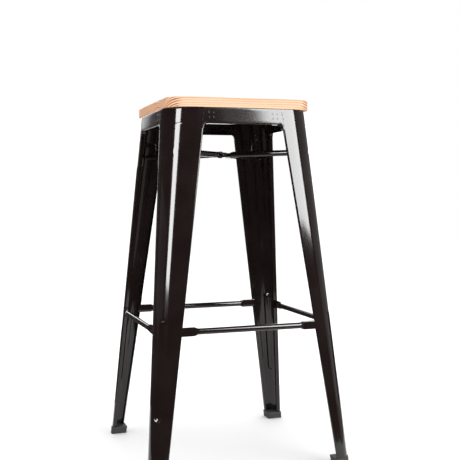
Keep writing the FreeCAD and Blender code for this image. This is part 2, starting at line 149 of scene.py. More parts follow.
def merge_levels(*groups: Iterable[float]) -> list[float]:
    """Sorted levels without near repeats.

    Args:
        groups: Lists of heights.

    Returns:
        All heights in rising order, at least 0.1 mm apart.
    """
    levels: list[float] = []
    for value in sorted(value for group in groups for value in group):
        if not levels or value - levels[-1] > 0.1 * MM:
            levels.append(value)
    return levels


class MeshMaker:
    """Collects grids and rings of points and turns them into one object."""

    def __init__(self, name: str) -> None:
        """Start an empty piece with the object's name."""
        self.name = name
        self.mesh = bmesh.new()

    def grid(self, rows: Sequence[Row], close: bool = False) -> list[list[Any]]:
        """Add a sheet of quads.

        Args:
            rows: Rows of points, all of one length.
            close: Join each row's last point to its first.

        Returns:
            The vertices, row by row.
        """
        made = [[self.mesh.verts.new(point) for point in row] for row in rows]
        count = len(made[0])
        for first, second in zip(made, made[1:]):
            for i in range(count if close else count - 1):
                j = (i + 1) % count
                self.mesh.faces.new((first[i], first[j], second[j], second[i]))
        return made

    def solid(self, rings: Sequence[Row]) -> None:
        """Add a closed solid through rings of points, with flat ends."""
        made = self.grid(rings, close=True)
        self.mesh.faces.new(list(reversed(made[0])))
        self.mesh.faces.new(made[-1])

    def place(self, matrix: Matrix) -> None:
        """Move every point made so far."""
        bmesh.ops.transform(self.mesh, matrix=matrix, verts=self.mesh.verts)

    def build(self, sharp: float = 38.0, solid: bool = True) -> bpy.types.Object:
        """Make the object.

        Args:
            sharp: Edges that turn by more degrees than this stay crisp.
            solid: Turn the normals outwards, which an open sheet does for itself.

        Returns:
            The linked object, at the origin.
        """
        if solid:
            bmesh.ops.recalc_face_normals(self.mesh, faces=self.mesh.faces)
        shade_by_angle(self.mesh, sharp)
        mesh = bpy.data.meshes.new(self.name)
        self.mesh.to_mesh(mesh)
        self.mesh.free()
        thing = bpy.data.objects.new(self.name, mesh)
        bpy.context.collection.objects.link(thing)
        return thing


def shade_by_angle(mesh: bmesh.types.BMesh, sharp: float) -> None:
    """Shade a mesh smooth, but keep edges crisp where it turns by more than sharp degrees.

    Args:
        mesh: The mesh.
        sharp: The angle in degrees.
    """
    for face in mesh.faces:
        face.smooth = True
    for edge in mesh.edges:
        if len(edge.link_faces) == 2:
            edge.smooth = edge.calc_face_angle(0.0) < math.radians(sharp)


def thicken(thing: bpy.types.Object, thickness: float, sharp: float = 50.0) -> None:
    """Give an open sheet its thickness, inwards from the face that was drawn.

    Args:
        thing: The sheet.
        thickness: Its gauge.
        sharp: Edges that turn by more degrees than this stay crisp.
    """
    shell = thing.modifiers.new("sheet", "SOLIDIFY")
    shell.thickness = thickness
    shell.offset = -1.0
    shell.use_even_offset = True
    apply_modifiers(thing)
    solid = bmesh.new()
    solid.from_mesh(thing.data)
    shade_by_angle(solid, sharp)
    solid.to_mesh(thing.data)
    solid.free()


def apply_modifiers(thing: bpy.types.Object) -> None:
    """Replace the object's mesh by its finished shape and drop the modifiers.

    Args:
        thing: The object.
    """
    graph = bpy.context.evaluated_depsgraph_get()
    finished = bpy.data.meshes.new_from_object(thing.evaluated_get(graph), depsgraph=graph)
    finished.name = thing.name
    thing.modifiers.clear()
    thing.data = finished


def hand_over(thing: bpy.types.Object, material: bpy.types.Material,
              nodes: Sequence[str] = ()) -> None:
    """Dress a finished piece and hand it to the frame.

    Args:
        thing: The piece.
        material: Its finish.
        nodes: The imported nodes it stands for.
    """
    thing.data.materials.clear()
    thing.data.materials.append(material)
    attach(thing, "root")
    if nodes:
        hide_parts(*nodes)
    LOG.info("%s: %d faces", thing.name, len(thing.data.polygons))


# ------------------------------------------------------------------ node trees


class Wire:
    """A socket in a node tree, with arithmetic that adds Math nodes."""

    def __init__(self, graph: Graph, socket: bpy.types.NodeSocket) -> None:
        """Wrap an output socket of a graph."""
        self.graph = graph
        self.socket = socket

    def __add__(self, other: Any) -> Wire:
        """Sum."""
        return self.graph.math("ADD", self, other)

    __radd__ = __add__

    def __sub__(self, other: Any) -> Wire:
        """Difference."""
        return self.graph.math("SUBTRACT", self, other)

    def __rsub__(self, other: Any) -> Wire:
        """Difference, reflected."""
        return self.graph.math("SUBTRACT", other, self)

    def __mul__(self, other: Any) -> Wire:
        """Product."""
        return self.graph.math("MULTIPLY", self, other)

    __rmul__ = __mul__

    def __truediv__(self, other: Any) -> Wire:
        """Quotient."""
        return self.graph.math("DIVIDE", self, other)

    def __pow__(self, other: Any) -> Wire:
        """Power."""
        return self.graph.math("POWER", self, other)

    def __abs__(self) -> Wire:
        """Size without the sign."""
        return self.graph.math("ABSOLUTE", self)

    def eased(self, low: Any, high: Any) -> Wire:
        """Ease from 0 at low to 1 at high."""
        values = {"Value": self, "From Min": low, "From Max": high}
        return self.graph.node("ShaderNodeMapRange", {"interpolation_type": "SMOOTHSTEP"}, values)

    def between(self, first: Any, second: Any) -> Wire:
        """Go from first, where this is 0, to second, where it is 1."""
        return self.graph.node("ShaderNodeMapRange", {}, {"Value": self, "To Min": first, "To Max": second})


class Graph:
    """A node tree under construction."""

    def __init__(self, tree: bpy.types.NodeTree) -> None:
        """Take a tree and empty it."""
        self.tree = tree
        self.tree.nodes.clear()

    def feed(self, socket: bpy.types.NodeSocket, value: Any) -> None:
        """Link a wire to a socket, or set the socket's own value.

        Args:
            socket: The socket.
            value: A wire to link, or a plain value.
        """
        if isinstance(value, Wire):
            self.tree.links.new(value.socket, socket)
        else:
            socket.default_value = value

    def add(self, kind: str, settings: dict[str, Any], values: dict[Any, Any]) -> bpy.types.Node:
        """Add a node.

        Args:
            kind: The node's type.
            settings: Its properties, set before its sockets.
            values: Values or wires for its sockets, by name or number.

        Returns:
            The node.
        """
        made = self.tree.nodes.new(kind)
        for key, value in settings.items():
            setattr(made, key, value)
        for key, value in values.items():
            self.feed(made.inputs[key], value)
        return made

    def node(self, kind: str, settings: dict[str, Any], values: dict[Any, Any], out: Any = 0) -> Wire:
        """Add a node and take one of its outputs, by name or number."""
        return Wire(self, self.add(kind, settings, values).outputs[out])

    def math(self, operation: str, *values: Any) -> Wire:
        """Add one Math node."""
        return self.node("ShaderNodeMath", {"operation": operation}, dict(enumerate(values)))

    def split(self, vector: Wire) -> list[Wire]:
        """The three parts of a vector."""
        return [Wire(self, part) for part in self.add("ShaderNodeSeparateXYZ", {}, {0: vector}).outputs]

    def join(self, x: Any, y: Any, z: Any) -> Wire:
        """A vector from three numbers."""
        return self.node("ShaderNodeCombineXYZ", {}, {0: x, 1: y, 2: z})


class Finish(Graph):
    """One material's nodes around a Principled shader."""

    def __init__(self, name: str) -> None:
        """Start a material with a Principled shader and an output."""
        self.material = bpy.data.materials.new(name)
        self.material.use_nodes = True
        super().__init__(self.material.node_tree)
        self.shader = self.add("ShaderNodeBsdfPrincipled", {}, {})
        self.add("ShaderNodeOutputMaterial", {}, {"Surface": Wire(self, self.shader.outputs["BSDF"])})

    def place(self) -> Wire:
        """The point on the piece, in metres in the stool's frame."""
        return self.node("ShaderNodeTexCoord", {}, {}, "Object")

    def noise(self, vector: Wire, scale: float, detail: float = 2.0) -> Wire:
        """Noise from 0 to 1 at a number of cells per metre."""
        values = {"Vector": vector, "Scale": scale, "Detail": detail}
        return self.node("ShaderNodeTexNoise", {}, values, "Fac")

    def blend(self, factor: Any, first: Any, second: Any, mode: str = "MIX") -> Wire:
        """Mix two colours, each a wire or three numbers."""
        settings = {"data_type": "RGBA", "blend_type": mode, "clamp_factor": True}
        first, second = (colour if isinstance(colour, Wire) else (*colour, 1.0) for colour in (first, second))
        return self.node("ShaderNodeMix", settings, {0: factor, 6: first, 7: second}, 2)

    def bump(self, height: Wire, strength: float, distance: float) -> None:
        """Feed the shader's normal from a height in metres of distance."""
        values = {"Height": height, "Strength": strength, "Distance": distance}
        self.feed(self.shader.inputs["Normal"], self.node("ShaderNodeBump", {}, values))

    def surface(self, **values: Any) -> bpy.types.Material:
        """Set the shader's sockets, named with underscores, and return the material."""
        for key, value in values.items():
            self.feed(self.shader.inputs[key.replace("_", " ").title().replace("Ior", "IOR")], value)
        return self.material


class Pattern(Graph):
    """A geometry node tree with named inputs, ending in Realize Instances and Set Material."""

    def __init__(self, name: str, material: bpy.types.Material, sizes: dict[str, float]) -> None:
        """Start a tree that takes and gives geometry.

        Args:
            name: The tree's name.
            material: What it dresses its result in.
            sizes: Its other inputs.
        """
        super().__init__(bpy.data.node_groups.new(name, "GeometryNodeTree"))
        for way in ("INPUT", "OUTPUT"):
            self.tree.interface.new_socket("Geometry", in_out=way, socket_type="NodeSocketGeometry")
        self.values: dict[str, Any] = {}
        for key, value in {**sizes, "Material": material}.items():
            kind = "NodeSocketMaterial" if key == "Material" else "NodeSocketFloat"
            socket = self.tree.interface.new_socket(key, in_out="INPUT", socket_type=kind)
            self.values[socket.identifier] = value
        self.entry = self.add("NodeGroupInput", {}, {})

    def read(self, name: str) -> Wire:
        """The wire of a named input."""
        return Wire(self, self.entry.outputs[name])

    def place(self) -> list[Wire]:
        """The three parts of each point's place."""
        return self.split(self.node("GeometryNodeInputPosition", {}, {}))

    def moved(self, geometry: Wire, **change: Any) -> Wire:
        """Shift, turn or scale a shape, as Translation, Rotation or Scale says."""
        return self.node("GeometryNodeTransform", {}, {"Geometry": geometry, **change})

    def repeat(self, shape: Wire, **turn: Wire) -> Wire:
        """Put a shape on each of the source points."""
        points = self.node("GeometryNodeMeshToPoints", {}, {"Mesh": self.read("Geometry")})
        return self.node("GeometryNodeInstanceOnPoints", {}, {"Points": points, "Instance": shape, **turn})

    def finish(self, name: str, geometry: Wire, sources: Sequence[Vector] = ()) -> bpy.types.Object:
        """Run the tree and keep its result as a plain mesh.

        Args:
            name: The object's name.
            geometry: The tree's last geometry.
            sources: Points that the tree puts its pieces on.

        Returns:
            The object, without the modifier.
        """
        solid = self.node("GeometryNodeRealizeInstances", {}, {0: geometry})
        material = self.read("Material")
        dressed = self.node("GeometryNodeSetMaterial", {}, {"Geometry": solid, "Material": material})
        self.add("NodeGroupOutput", {}, {0: dressed})
        mesh = bpy.data.meshes.new(name)
        mesh.from_pydata([tuple(point) for point in sources], [], [])
        thing = bpy.data.objects.new(name, mesh)
        bpy.context.collection.objects.link(thing)
        modifier = thing.modifiers.new("pattern", "NODES")
        modifier.node_group = self.tree
        for identifier, value in self.values.items():
            modifier[identifier] = value
        apply_modifiers(thing)
        return thing


# ------------------------------------------------------------------ finishes


@dataclass(frozen=True)
class BlackPaint:
    """Glossy black powder paint, faintly warm, with the coat's soft ripple and fine dust."""

    name: str = "black_gloss_paint"
    colour: Colour = (0.0088, 0.0048, 0.0043)
    worn: Colour = (0.0125, 0.0078, 0.0074)
    roughness: float = 0.085
    ripple: float = 0.25

    def material(self) -> bpy.types.Material:
        """Build the finish.

        Returns:
            The material.
        """
        graph = Finish(self.name)
        place = graph.place()
        cloud = graph.noise(place, 14.0, 3.0)
        dust = graph.noise(place, 900.0, 2.0).eased(0.60, 0.74)
        colour = graph.blend(cloud.eased(0.35, 0.7), self.colour, self.worn)
        coat = graph.noise(place, 170.0, 1.0) * 0.6 + graph.noise(place, 45.0, 1.0)
        graph.bump(coat, self.ripple, 0.02 * MM)
        roughness = cloud * 0.05 + dust * 0.06 + (self.roughness - 0.025)
        return graph.surface(base_color=colour, roughness=roughness, ior=1.5, specular_ior_level=0.5)


@dataclass(frozen=True)
class SeatWood:
    """Pale varnished softwood, fibres along X, with growth rings about the board's own pith."""

    name: str
    pith: Point
    ring: float = 3.9 * MM
    light: Colour = (0.93, 0.60, 0.40)
    line: Colour = (0.32, 0.14, 0.07)
    end_tint: Colour = (1.0, 0.93, 0.87)
    face_contrast: float = 0.38

    def material(self) -> bpy.types.Material:
        """Build the finish.

        Returns:
            The material.
        """
        graph = Finish(self.name)
        x, y, z = graph.split(graph.place())
        pith_y, pith_z = self.pith
        bow = graph.noise(graph.join(x * 4.0, y * 14.0, z * 14.0), 1.0, 2.0) - 0.5
        lean = graph.noise(graph.join(x * 2.2, pith_y * 40.0, 0.0), 1.0, 1.0) - 0.5
        off_y = y - pith_y + bow * 0.012
        off_z = z - pith_z + bow * 0.010 + lean * 0.012
        radius = graph.math("SQRT", off_y * off_y + off_z * off_z)
        years = graph.noise(graph.join(radius * 210.0, pith_y * 90.0, 0.0), 1.0, 1.0)
        phase = graph.math("FRACT", radius / self.ring + years * 0.8)
        late = phase.eased(0.30, 0.82) * (1.0 - phase.eased(0.88, 1.0))
        fibre = graph.noise(graph.join(x * 26.0, y * 1100.0, z * 1100.0), 1.0, 3.0)
        streak = graph.noise(graph.join(x * 5.0, y * 160.0, z * 260.0), 1.0, 2.0)
        mottle = graph.noise(graph.join(x * 9.0, y * 22.0, z * 22.0), 1.0, 2.0)
        across, _, _ = graph.split(graph.node("ShaderNodeNewGeometry", {}, {}, "Normal"))
        end = (across * across).eased(0.02, 0.45)
        depth = late * (end * (1.0 - self.face_contrast) + self.face_contrast)
        mix = depth * 1.1 + (fibre - 0.5) * 0.20 + (streak - 0.5) * 0.25 + (mottle - 0.5) * 0.25 + 0.03
        wood = graph.blend(mix, self.light, self.line)
        toned = graph.blend(end, wood, graph.blend(1.0, wood, self.end_tint, "MULTIPLY"))
        graph.bump(fibre * 0.6 + late * 0.4, 0.12, 0.06 * MM)
        return graph.surface(base_color=toned, roughness=(fibre - 0.5) * 0.16 + late * 0.05 + 0.55,
                             ior=1.45, specular_ior_level=0.25)


@dataclass(frozen=True)
class ZincSteel:
    """Plated screws: dull bright metal with fine turning marks."""

    name: str = "zinc_steel"
    colour: Colour = (0.62, 0.62, 0.60)
    dull: Colour = (0.42, 0.42, 0.40)

    def material(self) -> bpy.types.Material:
        """Build the finish.

        Returns:
            The material.
        """
        graph = Finish(self.name)
        grain = graph.noise(graph.place(), 1500.0, 2.0)
        shade = graph.blend(grain.eased(0.3, 0.8), self.colour, self.dull)
        graph.bump(grain, 0.2, 0.02 * MM)
        return graph.surface(base_color=shade, roughness=0.30 + grain * 0.15, metallic=1.0)


@dataclass(frozen=True)
class FootRubber:
    """Matt black rubber with a fine moulded grain and scuffs near the floor."""

    name: str = "foot_rubber"
    colour: Colour = (0.018, 0.018, 0.018)
    scuff: Colour = (0.07, 0.068, 0.064)

    def material(self) -> bpy.types.Material:
        """Build the finish.

        Returns:
            The material.
        """
        graph = Finish(self.name)
        place = graph.place()
        _, _, z = graph.split(place)
        grain = graph.noise(place, 1300.0, 2.0)
        low = 1.0 - z.eased(0.0, 6.0 * MM)
        worn = graph.noise(place, 220.0, 4.0).eased(0.45, 0.75) * low
        colour = graph.blend(worn * 0.7 + grain * 0.1, self.colour, self.scuff)
        graph.bump(grain, 0.4, 0.08 * MM)
        return graph.surface(base_color=colour, roughness=0.62 + grain * 0.2, ior=1.5)


@dataclass(frozen=True)
class PaleFloor:
    """Plain pale studio floor."""

    name: str = "pale_floor"
    colour: Colour = (0.90, 0.90, 0.90)
    lighter: Colour = (0.93, 0.93, 0.93)
    glow: float = 0.0

    def material(self) -> bpy.types.Material:
        """Build the finish.

        Returns:
            The material.
        """
        graph = Finish(self.name)
        tone = graph.noise(graph.place(), 2.0, 2.0)
        colour = graph.blend(tone, self.colour, self.lighter)
        return graph.surface(base_color=colour, roughness=0.8, emission_color=(1.0, 1.0, 1.0, 1.0),
                             emission_strength=self.glow)


BOARDS = (
    SeatWood("varnished_wood_front", (-0.165, 0.690), ring=4.5 * MM),
    SeatWood("varnished_wood_second", (-0.060, 0.500), ring=4.4 * MM),
    SeatWood("varnished_wood_third", (0.005, 0.450), ring=4.1 * MM),
    SeatWood("varnished_wood_back", (0.095, 0.520), ring=4.6 * MM),
)


# ------------------------------------------------------------------ the frame's common shape


@dataclass(frozen=True)
class Taper:
    """Straight tapers that all sheet pieces follow, in metres, from the floor to the frame's top."""

    frame_top: float
    half_top: float = 155.5 * MM
    half_floor: float = 214.5 * MM
    opening_top: float = 79.4 * MM
    opening_floor: float = 183.0 * MM
    radius_top: float = 63.0 * MM
    radius_floor: float = 25.3 * MM
    sheet: float = 1.2 * MM
    lip: float = 9.0 * MM
    lip_lean: float = 2.4 * MM
    bend: float = 2.6 * MM
    apron_depth: float = 32.7 * MM
    apron_corner: float = 9.0 * MM
    ear_land: float = 1.5 * MM
    seam: float = 4.5 * MM
    rim_roll: float = 1.6 * MM

    def _at(self, floor: float, top: float, height: float) -> float:
        """Value at a height on the line from the floor to the frame's top."""
        return floor + (top - floor) * height / self.frame_top

    def half(self, height: float) -> float:
        """Half width of the stool over its outer faces."""
        return self._at(self.half_floor, self.half_top, height)

    def opening(self, height: float) -> float:
        """Half width of the gap between two legs."""
        return self._at(self.opening_floor, self.opening_top, height)

    def radius(self, height: float) -> float:
        """Radius of a leg's outer corner."""
        return self._at(self.radius_floor, self.radius_top, height)

    def rolled(self, from_top: float) -> float:
        """How far the frame's rolled top rim curls inwards, at a distance below the top."""
        into = max(self.rim_roll - from_top, 0.0)
        return self.rim_roll - math.sqrt(max(self.rim_roll ** 2 - into ** 2, 0.0))

    @property
    def slope(self) -> float:
        """Lean of a side face, as width over height."""
        return (self.half_floor - self.half_top) / self.frame_top

    @property
    def stretch(self) -> float:
        """Length up a leaning face for each unit of height."""
        return math.hypot(1.0, self.slope)

    @property
    def apron_bottom(self) -> float:
        """Height of the apron strips' lower edge."""
        return self.frame_top - self.apron_depth

    @property
    def ear_bottom(self) -> float:
        """Height of the lower ends of the apron strips' ears."""
        return self.apron_bottom - self.apron_corner - self.ear_land

    def side(self, turns: int, height: float) -> Matrix:
        """Frame on a side's outer face: X along it, Y inwards, Z up its lean."""
        lean = Matrix.Rotation(-math.atan(self.slope), 4, "X")
        return quarter_turns(turns) @ Matrix.Translation((0, -self.half(height), height)) @ lean

    def corner(self, height: float, inset: float = 0.0) -> float:
        """Distance along the diagonal from the middle to a leg's corner, less an inset."""
        return self.half(height) * math.sqrt(2) - self.radius(height) * (math.sqrt(2) - 1) - inset


# ------------------------------------------------------------------ legs


@dataclass
class Leg:
    """Folded sheet leg: rounded corner, two flanges, inward lips, and a bead pressed down its corner."""

    taper: Taper
    foot_floor: float
    corner: Corner
    rail_height: float
    rail_flat_width: float
    brace_height: float
    bead_low: float = 122.0 * MM
    bead_high: float = 319.0 * MM
    bead_half_width: float = 9.5 * MM
    bead_depth: float = 3.2 * MM
    dent_reach: float = 9.0 * MM
    dent_height: float = 0.55 * MM
    crease_depth: float = 0.4 * MM
    crease_reach: float = 2.0 * MM
    notch_room: float = 1.0 * MM
    bead_crest: float = 0.45
    pucker: float = 0.7
    pucker_along: float = 5.0 * MM
    pucker_below: float = 7.0 * MM
    crease_fade: Point = (0.15, 0.45)
    tab_length: float = 38.0 * MM
    tab_low: float = 6.5 * MM
    tab_high: float = 9.2 * MM
    corner_steps: int = 40

    def press(self, along: float, height: float) -> float:
        """Depth that the sheet is pushed inwards.

        Args:
            along: Distance round the corner from its middle line.
            height: Height over the floor.

        Returns:
            The depth, below zero where the sheet bulges out.
        """
        middle = (self.bead_low + self.bead_high) / 2
        straight = (self.bead_high - self.bead_low) / 2 - self.bead_half_width
        beyond = max(abs(height - middle) - straight, 0.0)
        across = math.hypot(along, beyond) / self.bead_half_width
        bead = self.bead_depth * (1.0 - smooth_step(self.bead_crest, 1.0, across))
        weld = height - self.brace_height
        bulge = self.dent_height * dome(math.hypot(along, weld), self.dent_reach)
        aside = math.hypot(along - self.pucker_along, weld + self.pucker_below)
        pucker = self.dent_height * self.pucker * dome(aside, self.dent_reach / 2)
        edge = abs(height - self.taper.apron_bottom)
        half_arc = self.taper.radius(height) * RIGHT_ANGLE / 2
        fade = 1.0 - smooth_step(*self.crease_fade, abs(along) / half_arc)
        crease = self.crease_depth * dome(edge, self.crease_reach) * fade
        return bead - bulge + pucker + crease

    def corner_points(self, height: float, radius: float, outer: float) -> Row:
        """Points round the pressed corner at one height.

        Args:
            height: Height over the floor.
            radius: The corner's radius.
            outer: Half width over the outer faces.

        Returns:
            The points.
        """
        points = []
        centre = Vector((outer - radius, outer - radius, height))
        for angle in spread(RIGHT_ANGLE, 0.0, self.corner_steps):
            reach = radius - self.press((RIGHT_ANGLE / 2 - angle) * radius, height)
            points.append(centre + reach * Vector((math.cos(angle), math.sin(angle), 0)))
        return points

    def lipped_row(self, height: float) -> Row:
        """Outer face of the section below the apron, from one lip's free edge to the other's.

        Args:
            height: Height over the floor.

        Returns:
            The points.
        """
        taper = self.taper
        edge, outer, radius = taper.opening(height), taper.half(height), taper.radius(height)
        in_notch = abs(height - self.rail_height) < self.rail_flat_width / 2 + self.notch_room
        depth = taper.bend + 0.1 * MM if in_notch else taper.lip
        lean = taper.lip_lean / (taper.lip - taper.bend)
        lip = [Vector((edge + (reach - taper.bend) * lean, outer - reach, height))
               for reach in spread(depth, taper.bend, 3)]
        bend = []
        for angle in spread(0.0, RIGHT_ANGLE, 6)[1:]:
            swing = Vector((taper.bend * (1 - math.cos(angle)), taper.bend * (math.sin(angle) - 1), 0))
            bend.append(Vector((edge, outer, height)) + swing)
        flange_end = outer - radius
        flange = [Vector((x, outer, height)) for x in spread(edge + taper.bend, flange_end, 5)[1:-1]]
        first = lip + bend + flange
        second = [Vector((point.y, point.x, height)) for point in reversed(first)]
        return first + self.corner_points(height, radius, outer) + second

    def plain_row(self, height: float) -> Row:
        """Outer face of the section beside the apron strips, from seam to seam.

        Args:
            height: Height over the floor.

        Returns:
            The points.
        """
        taper = self.taper
        curl = taper.rolled(taper.frame_top - height)
        edge, outer = taper.opening(height) + taper.seam, taper.half(height) - curl
        radius = taper.radius(height) - curl
        flange = [Vector((x, outer, height)) for x in spread(edge, outer - radius, 4)[:-1]]
        second = [Vector((point.y, point.x, height)) for point in reversed(flange)]
        return flange + self.corner_points(height, radius, outer) + second

    def levels(self) -> list[float]:
        """Heights of the lower part's rows, closer together where the shape changes.

        Returns:
            The heights, upwards.
        """
        half_notch = self.rail_flat_width / 2 + self.notch_room
        steps = []
        for edge in (self.rail_height - half_notch, self.rail_height + half_notch):
            steps += [edge - 0.11 * MM, edge + 0.11 * MM]
        reach = self.bead_half_width
        ends = spread(self.bead_low - reach, self.bead_low + 2 * reach, 16)
        ends += spread(self.bead_high - 2 * reach, self.bead_high + reach, 16)
        dent = self.dent_reach
        weld = spread(self.brace_height - 1.6 * dent, self.brace_height + 1.2 * dent, 20)
        return merge_levels(spread(self.foot_floor, self.taper.ear_bottom, 90), steps, ends, weld)

    def tab_rows(self, swap: bool) -> list[Row]:
        """Weld tab behind an apron strip.

        Args:
            swap: Whether the tab is on the second flange.

        Returns:
            Its rows, upwards.
        """
        taper = self.taper
        rows = []
        for height in (taper.apron_bottom + self.tab_low, taper.frame_top - self.tab_high):
            face = taper.half(height) - taper.sheet * taper.stretch
            start = taper.opening(height) + taper.seam - self.tab_length
            finish = taper.opening(height) + taper.seam * 3
            row = [Vector((x, face, height)) for x in spread(start, finish, 4)]
            rows.append([Vector((p.y, p.x, p.z)) for p in reversed(row)] if swap else row)
        return rows

    def build(self, paint: bpy.types.Material) -> None:
        """Build the leg and stand it in its corner.

        Args:
            paint: The frame's finish.
        """
        node = f"leg_{self.corner.name.lower()}"
        maker = MeshMaker(f"{node}_pressed")
        top = self.taper.ear_bottom
        maker.grid([self.lipped_row(height)[::-1] for height in self.levels()])
        rim = self.taper.frame_top
        roll = [rim - self.taper.rim_roll * (1.0 - math.sin(angle))
                for angle in spread(0.0, RIGHT_ANGLE, 6)]
        edge, reach = self.taper.apron_bottom, self.crease_reach * 1.2
        upper = merge_levels(spread(top, roll[0], 8), spread(edge - reach, edge + reach, 12), roll)
        maker.grid([self.plain_row(height)[::-1] for height in upper])
        for swap in (False, True):
            maker.grid([row[::-1] for row in self.tab_rows(swap)])
        maker.place(quarter_turns(self.corner.value))
        leg = maker.build(solid=False)
        thicken(leg, self.taper.sheet)
        hand_over(leg, paint, [node])


# ------------------------------------------------------------------ apron strips


@dataclass
class Apron:
    """Strip between two legs, with its lower edge and the ears' inner edges turned in as a lip."""

    taper: Taper
    side: Side
    gap: float = 0.02 * MM
    face_steps: int = 6

    def down(self, height: float) -> float:
        """Place up the leaning face, from the frame's top."""
        return (height - self.taper.frame_top) * self.taper.stretch

    def half_path(self) -> list[tuple[Vector, Vector, Vector]]:
        """Left half of the lower edge.

        Returns:
            For each point its place, the way into the strip, and the strip's far edge beyond it.
        """
        taper = self.taper
        low, bottom = self.down(taper.ear_bottom) + self.gap, self.down(taper.apron_bottom)
        edge_low, edge = taper.opening(taper.ear_bottom), taper.opening(taper.apron_bottom)
        seam_low = edge_low + taper.seam - self.gap
        seam_top = taper.opening(taper.frame_top) + taper.seam - self.gap
        turn = taper.apron_corner
        curve_start = bottom - turn

        def seam_point(level: float) -> Vector:
            """The point on the seam at a level."""
            share = (level - low) / -low
            return Vector((-(seam_low + (seam_top - seam_low) * share), 0, level))

        path = []
        for level in spread(low, curve_start, 2)[:-1]:
            share = (level - low) / (bottom - low)
            spot = Vector((-(edge_low + (edge - edge_low) * share), 0, level))
            path.append((spot, Vector((-1, 0, 0)), seam_point(level)))
        centre = Vector((turn - edge, 0, curve_start))
        for share in spread(0.0, 1.0, 12):
            angle = RIGHT_ANGLE * share
            away = Vector((-math.cos(angle), 0, math.sin(angle)))
            if share < 0.5:
                far = seam_point(curve_start * (1 - share * 2))
            else:
                far = Vector((-seam_top + (seam_top - edge + turn) * (share * 2 - 1), 0, 0))
            path.append((centre + away * turn, away, far))
        for x in spread(turn - edge, 0.0, 6)[1:]:
            path.append((Vector((x, 0, bottom)), Vector((0, 0, 1)), Vector((x, 0, 0))))
        return path

    def build(self, paint: bpy.types.Material) -> None:
        """Build the strip on its side.

        Args:
            paint: The frame's finish.
        """
        taper = self.taper
        node = f"apron_{self.side.name.lower()}"
        half = self.half_path()
        mirror = Vector((-1, 1, 1))
        path = half + [tuple(part * mirror for part in point) for point in reversed(half[:-1])]
        rows = []
        for spot, inwards, far in path:
            bend_start = spot + inwards * taper.bend
            rim = taper.rim_roll / max((bend_start - far).length, taper.rim_roll)
            shares = [rim * (1.0 - math.sin(angle)) for angle in spread(RIGHT_ANGLE, 0.0, 6)]
            shares += spread(rim, 1.0, self.face_steps)[1:]
            row = [far.lerp(bend_start, share) for share in shares]
            for point in row:
                point.y = taper.rolled(-point.z)
            for angle in spread(0.0, RIGHT_ANGLE, 6)[1:]:
                back = Vector((0, taper.bend * (1 - math.cos(angle)), 0))
                row.append(spot + inwards * taper.bend * (1 - math.sin(angle)) + back)
            row += [spot + Vector((0, reach, 0)) for reach in spread(taper.bend, taper.lip, 3)[1:]]
            rows.append(row)
        maker = MeshMaker(f"{node}_strip")
        maker.grid(rows)
        maker.place(taper.side(self.side.value, taper.frame_top))
        strip = maker.build(solid=False)
        thicken(strip, taper.sheet)
        hand_over(strip, paint, [node])


# ------------------------------------------------------------------ footrest rails


@dataclass
class FootrestRail:
    """Tube with both ends pressed flat, made by a rule along its length."""

    taper: Taper
    side: Side
    height: float
    end: float
    diameter: float = 12.7 * MM
    flat: float = 3.0 * MM
    flat_length: float = 24.0 * MM
    press_length: float = 9.0 * MM
    crown: float = 0.42

    @property
    def flat_width(self) -> float:
        """Width of the pressed ends, the tube's girth kept."""
        return self.flat + (self.diameter - self.flat) * RIGHT_ANGLE

    def build(self, paint: bpy.types.Material) -> None:
        """Build the rail between its two legs.

        Args:
            paint: The frame's finish.
        """
        node = f"footrest_{self.side.name.lower()}"
        flat_start = self.taper.opening(self.height) - self.flat_length
        tree = Pattern("pressed_tube", paint, {
            "Radius": self.diameter / 2, "Length": self.end * 2,
            "Round Until": flat_start - self.press_length, "Flat From": flat_start,
            "Flat Thickness": self.flat, "Flat Width": self.flat_width, "Crown": self.crown})
        radius = tree.read("Radius")
        tube = tree.node("GeometryNodeMeshCylinder", {"fill_type": "NGON"}, {
            "Vertices": 48, "Side Segments": 160, "Radius": radius, "Depth": tree.read("Length")})
        x, y, z = tree.place()
        pressed = abs(x).eased(tree.read("Round Until"), tree.read("Flat From"))
        share = (abs(y) / radius) ** pressed.between(1.0, tree.read("Crown"))
        thick = share * pressed.between(radius, tree.read("Flat Thickness") * 0.5)
        wide = z / radius * pressed.between(radius, tree.read("Flat Width") * 0.5)
        shaped = tree.node("GeometryNodeSetPosition", {}, {
            "Geometry": tree.moved(tube, Rotation=(0, RIGHT_ANGLE, 0)),
            "Position": tree.join(x, tree.math("SIGN", y) * thick, wide)})
        smooth = tree.node("GeometryNodeSetShadeSmooth", {}, {0: shaped, "Shade Smooth": True})
        rail = tree.finish(f"{node}_tube", smooth)
        inwards = Matrix.Translation((0, self.taper.sheet + self.flat / 2, 0))
        rail.data.transform(self.taper.side(self.side.value, self.height) @ inwards)
        hand_over(rail, paint, [node])


# ------------------------------------------------------------------ brace


